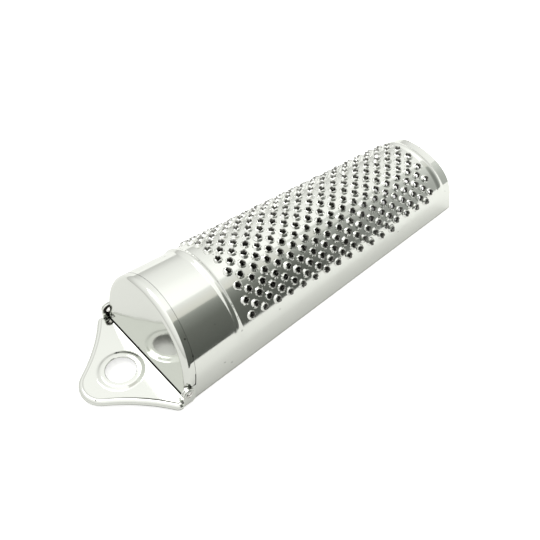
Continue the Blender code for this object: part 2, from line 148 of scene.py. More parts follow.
def wall_place(station, z):
    """A place on the +Y wall, z above the bottom; z below zero is on the lip."""
    radius = STORE_RADIUS + TAPER * station
    if z >= LIP_BEND:
        return (station, radius * pi / 2 + WALL - z)
    on_lip = LIP_BEND * pi / 2 - LIP_BEND - z
    return (station, radius * pi / 2 + WALL - LIP_BEND + max(on_lip, 0.0))


def ring_of(x, y, radius, count, turn=0.0):
    return [
        (x + radius * cos(turn + 2 * pi * i / count), y + radius * sin(turn + 2 * pi * i / count))
        for i in range(count)
    ]


def rasp_lattice():
    for ring in range(RINGS):
        for row in range(ROWS):
            station = FIRST_RING + ring * HALF_SPACING
            girth = (row - ROWS // 2) * ROW_SPACING
            edge = (STORE_RADIUS + TAPER * station) * pi / 2 - RASP_MARGIN
            if (ring + row) % 2 == 0 and abs(girth) < edge:
                yield station, girth


def cut_blank(outline, holes, lines, loose):
    """Triangles of the flat blank: its outline, holes punched in it, and lines to keep."""
    places, edges, loops = [], [], []
    for loop in [outline] + holes:
        area = sum(a[0] * b[1] - b[0] * a[1] for a, b in zip(loop, loop[1:] + loop[:1]))
        first = len(places)
        places += loop if area > 0 else loop[::-1]
        loops.append(list(range(first, len(places))))
    for line in lines:
        first = len(places)
        places += line
        edges += [(i, i + 1) for i in range(first, len(places) - 1)]
    places += loose
    flat = delaunay_2d_cdt([Vector(p) for p in places], edges, loops, 1, 1e-7)
    kept = [face for face, inside in zip(flat[2], flat[5]) if set(inside) == {0}]
    used = sorted({i for face in kept for i in face})
    index = {old: new for new, old in enumerate(used)}
    return np.array([flat[0][i] for i in used]), [[index[i] for i in face] for face in kept]


def sheet_mesh(name, places, faces):
    """Outer and inner skins of the rolled blank with its cut edges, and exact normals."""
    station, girth = places[:, 0], places[:, 1]
    skin = rolled(station, girth)
    normal = outward(station, girth)
    facing = np.sum(np.cross(skin[faces[0][1]] - skin[faces[0][0]],
                             skin[faces[0][2]] - skin[faces[0][0]]) * normal[faces[0][0]])
    if facing < 0:
        faces = [face[::-1] for face in faces]
    count = len(skin)
    edges = {}
    for face in faces:
        for a, b in zip(face, face[1:] + face[:1]):
            edges[(a, b)] = (b, a) not in edges
            if (b, a) in edges:
                edges[(b, a)] = False
    rim = [(b, a, a + count, b + count) for (a, b), lone in edges.items() if lone]
    inner = [[i + count for i in face[::-1]] for face in faces]
    mesh = bpy.data.meshes.new(name)
    mesh.from_pydata(np.concatenate([skin, skin - normal * SHEET]).tolist(), [], faces + inner + rim)
    mesh.shade_smooth()
    both = np.concatenate([normal, -normal])
    loops = []
    for polygon in mesh.polygons:
        if polygon.index < 2 * len(faces):
            loops += [both[i] for i in polygon.vertices]
        else:
            loops += [polygon.normal.copy()] * 4
    mesh.normals_split_custom_set(loops)
    return mesh


def piece(name, mesh, finish):
    made = bpy.data.objects.new(name, mesh)
    bpy.context.collection.objects.link(made)
    mesh.materials.clear()
    mesh.materials.append(finish)
    return made


def feed(tree, node, values):
    """Gives a node's first inputs their values: numbers as they are, and sockets as links."""
    for socket, value in zip(node.inputs, values):
        if isinstance(value, (int, float)):
            socket.default_value = value
        else:
            tree.links.new(value, socket)


def figured(tree, operation, *values):
    made = tree.nodes.new("ShaderNodeMath")
    made.operation = operation
    feed(tree, made, values)
    return made.outputs[0]


def object_place(tree):
    """The X, Y and Z of the shaded point in the object's own space."""
    place = tree.nodes.new("ShaderNodeTexCoord")
    spot = tree.nodes.new("ShaderNodeSeparateXYZ")
    tree.links.new(place.outputs["Object"], spot.inputs[0])
    return spot.outputs


def ranged(tree, value, start, end, low=0.0, high=1.0, kind="LINEAR"):
    """Goes from low to high while the value goes from start to end."""
    made = tree.nodes.new("ShaderNodeMapRange")
    made.interpolation_type = kind
    feed(tree, made, (value, start, end, low, high))
    return made.outputs[0]


def mixed(tree, share, first, second):
    """The first colour or, by its share, the second; each is a tuple or a socket."""
    made = tree.nodes.new("ShaderNodeMix")
    made.data_type = "RGBA"
    tree.links.new(share, made.inputs[0])
    for socket, colour in ((made.inputs[6], first), (made.inputs[7], second)):
        if isinstance(colour, tuple):
            socket.default_value = (*colour, 1)
        else:
            tree.links.new(colour, socket)
    return made.outputs[2]


def paint_shade(finish, share, colour):
    """Mixes painted shade of that colour into a finish's own colour."""
    tree = finish.node_tree
    base = tree.nodes["Principled BSDF"].inputs["Base Color"]
    tree.links.new(mixed(tree, share, base.links[0].from_socket, colour), base)


def handling_marks():
    """The marks that every tinned surface shows: soft waves from the rollers, fine lines along
    them, cloudy patches and small dark specks where the tin is pitted."""
    group = bpy.data.node_groups.new("handling marks", "ShaderNodeTree")
    sockets = group.interface
    for name, value in (
        ("Wave height", 0.5),
        ("Line height", 0.1),
        ("Roughness low", 0.06),
        ("Roughness high", 0.16),
        ("Specks", 0.5),
    ):
        made = sockets.new_socket(name, in_out="INPUT", socket_type="NodeSocketFloat")
        made.default_value = value
    sockets.new_socket("Roughness", in_out="OUTPUT", socket_type="NodeSocketFloat")
    sockets.new_socket("Height", in_out="OUTPUT", socket_type="NodeSocketFloat")
    sockets.new_socket("Speck", in_out="OUTPUT", socket_type="NodeSocketFloat")
    nodes, link = group.nodes, group.links.new
    given = nodes.new("NodeGroupInput")
    result = nodes.new("NodeGroupOutput")
    place = nodes.new("ShaderNodeTexCoord")

    def noise(scale, detail, stretch=None):
        made = nodes.new("ShaderNodeTexNoise")
        made.inputs["Scale"].default_value = scale
        made.inputs["Detail"].default_value = detail
        if stretch:
            turned = nodes.new("ShaderNodeMapping")
            turned.inputs["Scale"].default_value = stretch
            link(place.outputs["Object"], turned.inputs["Vector"])
            link(turned.outputs["Vector"], made.inputs["Vector"])
        else:
            link(place.outputs["Object"], made.inputs["Vector"])
        return made.outputs["Fac"]

    def math(operation, *values):
        return figured(group, operation, *values)

    waves = noise(110, 1.0, (0.6, 1.0, 1.0))
    lines = noise(900, 2.0, (0.06, 1.0, 1.0))
    clouds = noise(60, 4.0)
    height = math("MULTIPLY", waves, given.outputs["Wave height"])
    height = math("MULTIPLY_ADD", lines, given.outputs["Line height"], height)
    link(height, result.inputs["Height"])
    spread = math("SUBTRACT", given.outputs["Roughness high"], given.outputs["Roughness low"])
    clouded = ranged(group, clouds, 0.35, 0.68)
    rough = math("MULTIPLY_ADD", clouded, spread, given.outputs["Roughness low"])
    link(rough, result.inputs["Roughness"])
    cells = nodes.new("ShaderNodeTexVoronoi")
    cells.inputs["Scale"].default_value = 420
    link(place.outputs["Object"], cells.inputs["Vector"])
    pick = nodes.new("ShaderNodeSeparateColor")
    link(cells.outputs["Color"], pick.inputs["Color"])
    chosen = math("GREATER_THAN", pick.outputs["Red"], 0.90)
    small = math("LESS_THAN", cells.outputs["Distance"], 0.12)
    speck = math("MULTIPLY", math("MULTIPLY", chosen, small), given.outputs["Specks"])
    link(speck, result.inputs["Speck"])
    return group


marks = handling_marks()


def tin(name, colour, speck_colour, **values):
    """A tinned finish of that colour, with the handling marks at its own strengths."""
    made = bpy.data.materials.new(name)
    made.use_nodes = True
    nodes, link = made.node_tree.nodes, made.node_tree.links.new
    shader = nodes["Principled BSDF"]
    shader.inputs["Metallic"].default_value = 1.0
    worn = nodes.new("ShaderNodeGroup")
    worn.node_tree = marks
    for key, value in values.items():
        worn.inputs[key.replace("_", " ").capitalize()].default_value = value
    tint = mixed(made.node_tree, worn.outputs["Speck"], colour, speck_colour)
    link(tint, shader.inputs["Base Color"])
    link(worn.outputs["Roughness"], shader.inputs["Roughness"])
    bump = nodes.new("ShaderNodeBump")
    bump.inputs["Distance"].default_value = 0.00002
    link(worn.outputs["Height"], bump.inputs["Height"])
    link(bump.outputs["Normal"], shader.inputs["Normal"])
    return made


rolled_tin = tin(
    "rolled tinplate", (0.72, 0.735, 0.70), (0.10, 0.10, 0.09),
    wave_height=1.0, line_height=0.12, roughness_low=0.07, roughness_high=0.17, specks=0.7,
)
rolled_tree = rolled_tin.node_tree
# Painted shade: the sheet is darker along its bottom bend, where it meets the table.
painted_bottom_shade = ranged(rolled_tree, object_place(rolled_tree)["Z"], 0.0004, 0.0012, 0.7, 0.0)
paint_shade(rolled_tin, painted_bottom_shade, (0.16, 0.16, 0.145))

mouth = SKIRT + SEAM
turns = np.radians(np.arange(0, 91, 3))
half = leaning(mouth, STORE_LEAN, turns)
half.append(wall_place(mouth + STORE_LEAN * MOUTH_CORNER, MOUTH_CORNER))
for a in np.radians(np.arange(40, 181, 10)):
    half.append(wall_place(HINGE_X + EYE_RADIUS * cos(a), HINGE_Z + EYE_RADIUS * sin(a)))
half.append(wall_place(HINGE_X - EYE_RADIUS, EYE_RADIUS / 2))
half.append(wall_place(HINGE_X - EYE_RADIUS / 2, 0.0))
lip_start = BEADS[0][0] + BEAD_HALF
lip_end = LENGTH - LIP_END
half.append(wall_place(lip_start, 0.0))
half.append(wall_place(lip_start + LIP_WIDTH, -LIP_WIDTH))
half.append(wall_place(lip_end - LIP_WIDTH, -LIP_WIDTH))
half.append(wall_place(lip_end, 0.0))
half.append(wall_place(LENGTH, 0.0))
half += [wall_place(LENGTH + FAR_LEAN * z, z) for z in (0.002, 0.004, 0.006)]
half += leaning(LENGTH, FAR_LEAN, turns[::-1])
outline = half + [(x, -g) for x, g in half[-2:0:-1]]
punched = [ring_of(x, g, PUNCH_RADIUS, 10, 0.3) for x, g in rasp_lattice()]
for side in (1, -1):
    eye = ring_of(HINGE_X, HINGE_Z, EYE_HOLE, 24)
    punched.append([(x, side * wall_place(x, z)[1]) for x, z in eye])
grid = []
angles = np.radians(np.arange(-90, 91, 3))
for at, lean, _ in BEADS:
    for step in np.linspace(-1, 1, 9):
        grid.append(leaning(at + BEAD_HALF * step, lean, angles))
# Lines round the two plain bands keep their triangles small and even.
for at, lean in ((0.0075, 0.1), (0.0105, 0.05), (0.0140, 0.02), (0.0170, 0.0), (0.0232, 0.0)):
    grid.append(leaning(at, lean, angles))
for back in (0.0030, 0.0015, 0.0075):
    grid.append(leaning(LENGTH - back, FAR_LEAN, angles))
# Lines along the walls follow the bend of the lips, and short ones divide the long lips.
for side in (1, -1):
    for z in (0.0, LIP_BEND / 2, LIP_BEND, 0.0030, 0.0055):
        span = np.linspace(0.0045, LENGTH - 0.0015, 56)
        grid.append([(x, side * wall_place(x, z)[1]) for x in span])
    for start in (0.030, 0.060, 0.090):
        grid.append([(start + i * 0.0005, side * wall_place(start, -0.0012)[1]) for i in range(2)])
# Loose corners between the holes, clear of their edges.
centres = np.array(list(rasp_lattice()))
loose = []
for x in np.arange(FIRST_RING - HALF_SPACING, LOOSE_END, HALF_SPACING):
    for a in angles:
        g = (STORE_RADIUS + TAPER * x) * a
        if np.min(np.hypot(centres[:, 0] - x, centres[:, 1] - g)) > PUNCH_RADIUS + HOLE_CLEAR:
            loose.append((x, g))
places, faces = cut_blank(outline, punched, grid, loose)
rasp_sheet = piece("rasp_sheet", sheet_mesh("rasp_sheet", places, faces), rolled_tin)
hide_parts("grater_body")
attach(rasp_sheet, "body")

# Rasp burrs
# Each hole is punched outwards by a four-sided point, which tears the tin into four raised
# petals. The rows stagger, and the punched sheet is rolled afterwards, so the burrs are too.
burr_tin = tin(
    "torn tinplate", (0.74, 0.75, 0.72), (0.12, 0.12, 0.11),
    wave_height=0.5, line_height=0.3, roughness_low=0.08, roughness_high=0.20, specks=0.4,
)
# Painted shade: the inside of each burr is painted dark, as the shade inside the holes.
painted_shade_inside = tin(
    "burr inside, painted shade", (0.24, 0.24, 0.225), (0.02, 0.02, 0.02),
    wave_height=0.5, line_height=0.5, roughness_low=0.22, roughness_high=0.40, specks=0.4,
)


def one_burr():
    """A single burr on the flat sheet: a drawn foot, four torn petals and the inside painted dark as
    shade.
    """
    petal = [(1.62, -0.14), (1.42, 0.04), (1.24, 0.40), (0.96, 0.88), (0.80, 0.50), (0.56, -0.36)]
    notch = [(1.62, -0.14), (1.42, 0.04), (1.20, 0.30), (1.04, 0.40), (0.80, 0.16), (0.60, -0.36)]
    verts, faces = [], []
    for i in range(12):
        turn = pi / 2 * (i // 3) + (0.0, 0.62, 1.14)[i % 3]
        for radius, height in notch if i % 3 == 0 else petal:
            verts.append((radius * cos(turn) / 1000, radius * sin(turn) / 1000, height / 1000))
    rings = len(petal)
    for i in range(12):
        for k in range(rings - 1):
            a, b = i * rings + k, (i + 1) % 12 * rings + k
            faces.append((a, a + 1, b + 1, b)[::-1])
    mesh = bpy.data.meshes.new("one burr")
    mesh.from_pydata(verts, [], faces)
    mesh.shade_smooth()
    mesh.materials.append(burr_tin)
    mesh.materials.append(painted_shade_inside)
    for face in mesh.polygons:
        face.material_index = int(face.index % (rings - 1) > 2)
    made = bpy.data.objects.new("one burr", mesh)
    bpy.context.collection.objects.link(made)
    return made


def burr_tree(burr):
    """Instances the burr on the staggered lattice of the flat sheet, then rolls the result."""
    tree = bpy.data.node_groups.new("punched and rolled burrs", "GeometryNodeTree")
    tree.interface.new_socket("Geometry", in_out="INPUT", socket_type="NodeSocketGeometry")
    for name in (
        "First ring", "Half spacing", "Row spacing", "Margin", "Store radius", "Taper",
        "Wall height", "Middle", "Size spread",
    ):
        tree.interface.new_socket(name, in_out="INPUT", socket_type="NodeSocketFloat")
    for name in ("Rings", "Rows", "Seed"):
        tree.interface.new_socket(name, in_out="INPUT", socket_type="NodeSocketInt")
    tree.interface.new_socket("Geometry", in_out="OUTPUT", socket_type="NodeSocketGeometry")
    nodes, link = tree.nodes, tree.links.new
    given = nodes.new("NodeGroupInput").outputs
    result = nodes.new("NodeGroupOutput")

    def math(operation, *values):
        return figured(tree, operation, *values)

    def parts_of(vector):
        made = nodes.new("ShaderNodeSeparateXYZ")
        link(vector, made.inputs[0])
        return made.outputs

    def joined(*values):
        made = nodes.new("ShaderNodeCombineXYZ")
        feed(tree, made, values)
        return made.outputs[0]

    def scatter(low, high, seed_step):
        made = nodes.new("FunctionNodeRandomValue")
        made.data_type = "FLOAT_VECTOR"
        for key, value in (("Min", low), ("Max", high)):
            if isinstance(value, tuple):
                made.inputs[key].default_value = value
            else:
                link(value, made.inputs[key])
        link(math("ADD", given["Seed"], seed_step), made.inputs["Seed"])
        return made.outputs["Value"]

    steps_long = math("SUBTRACT", given["Rings"], 1)
    steps_wide = math("SUBTRACT", given["Rows"], 1)
    long = math("MULTIPLY", steps_long, given["Half spacing"])
    lattice = nodes.new("GeometryNodeMeshGrid")
    link(long, lattice.inputs["Size X"])
    link(math("MULTIPLY", steps_wide, given["Row spacing"]), lattice.inputs["Size Y"])
    link(given["Rings"], lattice.inputs["Vertices X"])
    link(given["Rows"], lattice.inputs["Vertices Y"])
    shifted = nodes.new("GeometryNodeSetPosition")
    link(lattice.outputs["Mesh"], shifted.inputs["Geometry"])
    start = math("MULTIPLY_ADD", long, 0.5, given["First ring"])
    link(joined(start, 0.0, 0.0), shifted.inputs["Offset"])

    place = parts_of(nodes.new("GeometryNodeInputPosition").outputs[0])
    radius = math("MULTIPLY_ADD", place["X"], given["Taper"], given["Store radius"])
    edge = math("SUBTRACT", math("MULTIPLY", radius, pi / 2), given["Margin"])
    inside = math("LESS_THAN", math("ABSOLUTE", place["Y"]), edge)
    index = nodes.new("GeometryNodeInputIndex").outputs[0]
    staggered = math("LESS_THAN", math("MODULO", index, 2), 0.5)
    punched = nodes.new("GeometryNodeInstanceOnPoints")
    link(shifted.outputs[0], punched.inputs["Points"])
    link(math("MULTIPLY", inside, staggered), punched.inputs["Selection"])
    source = nodes.new("GeometryNodeObjectInfo")
    source.inputs["Object"].default_value = burr
    link(source.outputs["Geometry"], punched.inputs["Instance"])
    link(scatter((-0.12, -0.12, -0.9), (0.12, 0.12, 0.9), 1), punched.inputs["Rotation"])
    least = math("SUBTRACT", 1.0, given["Size spread"])
    most = math("ADD", 1.0, given["Size spread"])
    tallest = math("MULTIPLY_ADD", given["Size spread"], 1.6, 1.0)
    shortest = math("SUBTRACT", 1.0, math("MULTIPLY", given["Size spread"], 2.0))
    sizes = scatter(joined(least, least, shortest), joined(most, most, tallest), 2)
    link(sizes, punched.inputs["Scale"])
    real = nodes.new("GeometryNodeRealizeInstances")
    link(punched.outputs[0], real.inputs[0])

    angle = math("DIVIDE", place["Y"], radius)
    reach = math("ADD", radius, place["Z"])
    across = math("MULTIPLY", reach, math("SINE", angle))
    up = math("MULTIPLY_ADD", reach, math("COSINE", angle), given["Wall height"])
    turned = nodes.new("GeometryNodeSetPosition")
    link(real.outputs[0], turned.inputs["Geometry"])
    spot = joined(math("SUBTRACT", place["X"], given["Middle"]), across, up)
    link(spot, turned.inputs["Position"])
    link(turned.outputs[0], result.inputs[0])
    return tree


burr = one_burr()
carrier = bpy.data.objects.new("burr carrier", bpy.data.meshes.new("burr carrier"))
bpy.context.collection.objects.link(carrier)
tree = burr_tree(burr)
punching = carrier.modifiers.new("burrs", "NODES")
punching.node_group = tree
given_sizes = {
    "First ring": FIRST_RING, "Half spacing": HALF_SPACING, "Row spacing": ROW_SPACING,
    "Margin": RASP_MARGIN, "Store radius": STORE_RADIUS, "Taper": TAPER, "Wall height": WALL,
    "Middle": MIDDLE, "Size spread": 0.06, "Rings": RINGS, "Rows": ROWS, "Seed": 7,
}
for item in tree.interface.items_tree:
    if item.in_out == "INPUT" and item.name in given_sizes:
        punching[item.identifier] = given_sizes[item.name]
bpy.context.view_layer.update()
evaluated = carrier.evaluated_get(bpy.context.evaluated_depsgraph_get())
burr_mesh = bpy.data.meshes.new_from_object(evaluated)
carrier.modifiers.clear()
burr_mesh.shade_smooth()
rasp_burrs = bpy.data.objects.new("rasp_burrs", burr_mesh)
bpy.context.collection.objects.link(rasp_burrs)
for leftover in (carrier, burr):
    bpy.data.objects.remove(leftover)
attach(rasp_burrs, "body")

# End cap
# A half disc drawn from one piece of tin, with a rounded shoulder and a short skirt that butts
# against the rasp sheet; its collar goes on inside the sheet, where the real one is welded.
SHOULDER = 0.0020
COLLAR = 0.0040
COLLAR_BOTTOM = 0.0104
FACE_BOTTOM = 0.0030
SKIRT_END = SKIRT - 0.0002
SKIRT_BOTTOM = 0.0064
SKIRT_CORNER = 0.0007
EYE_GAP = 0.00015
FLANGE_ROOM = 0.0007


def leaning_point(start, lean, angle, drop, lift):
    station = start
    for _ in range(5):
        reach = STORE_RADIUS + TAPER * station + lift
        z = WALL + reach * cos(angle) - drop
        station = start + lean * z
    return Vector((station - MIDDLE, reach * sin(angle), z))


def loft(rings, closed=False, fill_first=False):
    shape = bmesh.new()
    rows = [[shape.verts.new(p) for p in ring] for ring in rings]
    if fill_first:
        shape.faces.new(rows[0])
    for inner, outer in zip(rows, rows[1:]):
        for i in range(len(inner) - (0 if closed else 1)):
            j = (i + 1) % len(inner)
            shape.faces.new((inner[i], outer[i], outer[j], inner[j]))
    return shape


def shape_object(name, shape, finish):
    mesh = bpy.data.meshes.new(name)
    shape.to_mesh(mesh)
    shape.free()
    return piece(name, mesh, finish)


def face_away(made, inside):
    """Turns an open pressing's faces away from a point inside it."""
    shape = bmesh.new()
    shape.from_mesh(made.data)
    bmesh.ops.remove_doubles(shape, verts=shape.verts, dist=1e-6)
    bmesh.ops.recalc_face_normals(shape, faces=shape.faces)
    facing = sum(
        f.calc_area() * f.normal.dot(f.calc_center_median() - Vector(inside)) for f in shape.faces
    )
    if facing < 0:
        bmesh.ops.reverse_faces(shape, faces=shape.faces)
    shape.to_mesh(made.data)
    shape.free()


def thicken(made):
    wall = made.modifiers.new("sheet", "SOLIDIFY")
    wall.thickness = SHEET
    wall.offset = -1.0
    wall.use_even_offset = True
    wall.use_quality_normals = True


def settle(made, sharp=32):
    """Applies the modifiers and shades flats flat and bends round."""
    made.modifiers.new("even", "TRIANGULATE").min_vertices = 12
    bpy.context.view_layer.update()
    graph = bpy.context.evaluated_depsgraph_get()
    mesh = bpy.data.meshes.new_from_object(made.evaluated_get(graph))
    made.modifiers.clear()
    made.data = mesh
    mesh.shade_smooth()
    mesh.set_sharp_from_angle(angle=radians(sharp))
    flats = made.modifiers.new("flats", "WEIGHTED_NORMAL")
    flats.keep_sharp = True
    flats.weight = 80
    graph = bpy.context.evaluated_depsgraph_get()
    mesh = bpy.data.meshes.new_from_object(made.evaluated_get(graph))
    made.modifiers.clear()
    made.data = mesh


def cut(made, operation, other):
    change = made.modifiers.new(operation, "BOOLEAN")
    change.operation = operation
    change.object = other


pressed_tin = tin(
    "pressed tinplate", (0.69, 0.705, 0.67), (0.12, 0.12, 0.11),
    wave_height=2.4, line_height=0.06, roughness_low=0.05, roughness_high=0.12, specks=1.0,
)

shoulder = [(SHOULDER * (1 - cos(a)), SHOULDER * (1 - sin(a))) for a in np.radians(range(0, 91, 9))]
steps = shoulder + [(SKIRT, 0.0), (SKIRT, SHEET + FIT), (SKIRT + COLLAR, SHEET + FIT)]
cap_drop = WALL - FACE_BOTTOM
path = [(-pi / 2, cap_drop), (-pi / 2, cap_drop / 2)]
path += [(a, 0.0) for a in np.radians(np.arange(-90, 91, 3))]
path += [(pi / 2, cap_drop / 2), (pi / 2, cap_drop)]
rings = [
    [leaning_point(start, STORE_LEAN, angle, drop, -inset) for angle, drop in path]
    for start, inset in steps
]
cap = shape_object("end_cap_shell", loft(rings, fill_first=True), pressed_tin)
face_away(cap, (SKIRT + COLLAR - MIDDLE, 0, WALL))
thicken(cap)
corner = [
    (SKIRT_END - SKIRT_CORNER * (1 - cos(a)), SKIRT_BOTTOM + SKIRT_CORNER * (1 - sin(a)))
    for a in np.radians(range(0, 91, 15))
]
for a in np.radians(range(42, 91, 12)):
    z = HINGE_Z + (EYE_RADIUS + EYE_GAP) * sin(a)
    corner.append((HINGE_X + (EYE_RADIUS + EYE_GAP) * cos(a) - STORE_LEAN * z, z))
edge = [(-SKIRT, 0.0), (SKIRT + 2 * COLLAR, 0.0), (SKIRT + 2 * COLLAR, COLLAR_BOTTOM)]
edge += [(SKIRT_END, COLLAR_BOTTOM)] + corner + [(-SKIRT, corner[-1][1])]
cutters = []
for side in (1, -1):
    inner = side * (STORE_RADIUS - SHEET - FIT - FLANGE_ROOM)
    outer = side * (STORE_RADIUS + SHOULDER)
    rings = [[(x + STORE_LEAN * z - MIDDLE, y, z) for x, z in edge] for y in (inner, outer)]
    shape = loft(rings, closed=True, fill_first=True)
    shape.faces.new(list(shape.verts)[len(edge):])
    bmesh.ops.recalc_face_normals(shape, faces=shape.faces)
    cutters.append(shape_object("corner cutter", shape, pressed_tin))
    cut(cap, "DIFFERENCE", cutters[-1])
settle(cap)
for cutter in cutters:
    bpy.data.objects.remove(cutter)
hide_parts("end_cap")
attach(cap, "body")

# Store bulkhead
# A flat half disc of the same tin. The bead is rolled over its edge and grips it.
front = BEADS[0][0] - SHEET / 2
edge = []
for angle in np.radians(np.arange(-90, 91, 3)):
    bulge = BEADS[0][2] * bead_fade(abs(angle))
    reach = STORE_RADIUS + TAPER * front + bulge - SHEET - FIT
    edge.append((front - MIDDLE, reach * sin(angle), WALL + reach * cos(angle)))
low = [(front - MIDDLE, y, FIT) for y in (edge[-1][1], edge[0][1])]
shape = bmesh.new()
shape.faces.new([shape.verts.new(p) for p in edge + low])
bulkhead = shape_object("bulkhead_disc", shape, rolled_tin)
face_away(bulkhead, (LENGTH, 0, WALL))
thicken(bulkhead)
settle(bulkhead)
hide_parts("store_bulkhead")
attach(bulkhead, "body")

# Store flap
# One pressing: the hanging tab with its rim turned down and a ring raised round the hole, the
# shallow tray that closes the store from behind, and two upright ears for the hinge.
PLATE_TOP = HINGE_Z - 0.0026
RIM_DEPTH = 0.0014
RIM_BEND = 0.0012
CREASE = 0.0004
SHADED_RIM_BANDS = (0, 11)
NOSE = 0.0074
HOLLOW = 0.0540
EAR_CORNER = 0.0020
EAR_CORNER_RUN = 0.0003
TAB_BACK = HINGE_X - EYE_RADIUS - LOOSE_FIT
EAR_INNER = STORE_RADIUS + LOOSE_FIT
EAR_GAP = 0.00012
TRAY_CORNER = 0.0024
TRAY_END = BEADS[0][0] - SHEET / 2 - LOOSE_FIT
HOLE_RADIUS = 0.0045
HOLE_IN = 0.0129
HOLE_X = HOLE_IN - TAB_REACH - MIDDLE
HOLE_ROUNDING = 0.00012
RING_RADIUS = 0.0074
RING_RISE = 0.0006
RING_SLOPE = 0.0016
# Where the flap is painted black as shade, behind the gap under the cap's face.
SHADE_START = -0.00040
SHADE_END = 0.0020
SHADE_HALF_WIDTH = 0.0186


def arc(centre, radius, first, last, step=3):
    count = max(1, round(abs(last - first) / radians(step)))
    turns = [first + (last - first) * i / count for i in range(count + 1)]
    return [centre + radius * Vector((cos(a), sin(a))) for a in turns]


def tab_edge(inset):
    """The tab's edge from ear to ear round the nose, drawn in by inset."""
    nose = Vector((NOSE - TAB_REACH, 0))
    ear = Vector((TAB_BACK - EAR_CORNER_RUN, EAR_INNER + SHEET - EAR_CORNER))
    gap = ear - nose
    apart = hypot(gap.x, gap.y)
    along = ((NOSE + HOLLOW) ** 2 - (EAR_CORNER + HOLLOW) ** 2 + apart**2) / (2 * apart)
    aside = ((NOSE + HOLLOW) ** 2 - along**2) ** 0.5
    unit = gap / apart
    hollow = nose + along * unit + aside * Vector((-unit.y, unit.x))
    at_ear = atan2(hollow.y - ear.y, hollow.x - ear.x)
    at_nose = atan2(hollow.y - nose.y, hollow.x - nose.x)
    half = [Vector((TAB_BACK, EAR_INNER + SHEET - inset))]
    half += arc(ear, EAR_CORNER - inset, pi / 2, at_ear, 6)
    half += arc(hollow, HOLLOW + inset, at_ear - pi, at_nose - pi)[1:-1]
    half += arc(nose, NOSE - inset, at_nose, pi, 5)
    return half + [Vector((p.x, -p.y)) for p in reversed(half[:-1])]


def tray_edge(inset):
    def half_width(station):
        return STORE_RADIUS + TAPER * station - SHEET - LOOSE_FIT - inset

    corner = Vector((TRAY_END - TRAY_CORNER, half_width(TRAY_END) + inset - TRAY_CORNER))
    half = [Vector((TAB_BACK - SHEET * 2, half_width(0.0))), Vector((0.0, half_width(0.0)))]
    half += arc(corner, TRAY_CORNER - inset, pi / 2, 0, 9)
    return half + [Vector((p.x, -p.y)) for p in reversed(half)]


def rimmed(edge):
    """A plate with its edge bent down, as rings from the flat outwards."""
    bends = [(RIM_BEND + CREASE, 0.0)]
    bends += [
        (RIM_BEND * (1 - sin(a)), RIM_BEND * (1 - cos(a))) for a in np.radians(range(0, 91, 9))
    ] + [(0.0, RIM_DEPTH)]
    return [
        [Vector((p.x - MIDDLE, p.y, PLATE_TOP - down)) for p in edge(inset)]
        for inset, down in bends
    ]


def turned(name, profile, finish, steps=64, centre=(0, 0, 0)):
    """A closed profile of (radius, height) turned round Z."""
    rings = [
        [
            Vector((r * cos(2 * pi * i / steps), r * sin(2 * pi * i / steps), h)) + Vector(centre)
            for i in range(steps)
        ]
        for r, h in profile + profile[:1]
    ]
    shape = loft(rings, closed=True)
    bmesh.ops.remove_doubles(shape, verts=shape.verts, dist=1e-7)
    bmesh.ops.recalc_face_normals(shape, faces=shape.faces)
    return shape_object(name, shape, finish)


def shaded_store(finish):
    """The same finish, but painted black as shade just behind the gap under the cap's face."""
    made = finish.copy()
    made.name = "flap tinplate"
    tree = made.node_tree
    spot = object_place(tree)
    leaned = figured(tree, "MULTIPLY_ADD", spot["Z"], -STORE_LEAN, spot["X"])
    shade_in = ranged(tree, leaned, SHADE_START - MIDDLE, SHADE_START / 2 - MIDDLE)
    shade_out = ranged(tree, leaned, SHADE_END - MIDDLE, SHADE_END / 2 - MIDDLE)
    aside = figured(tree, "ABSOLUTE", spot["Y"])
    within = figured(tree, "LESS_THAN", aside, SHADE_HALF_WIDTH)
    band = figured(tree, "MULTIPLY", shade_in, shade_out)
    paint_shade(made, figured(tree, "MULTIPLY", band, within), (0.012, 0.011, 0.009))
    return made


def crease_shaded(finish):
    """The same finish darkened by painted shade in the crease along the rim and at its bottom edge,
    most of it on the -Y side.
    """
    made = finish.copy()
    made.name = "dirty crease"
    tree = made.node_tree
    paint_shade(made, ranged(tree, object_place(tree)["Y"], -0.0130, -0.0040, 1.0, 0.25), (0.09, 0.09, 0.08))
    return made


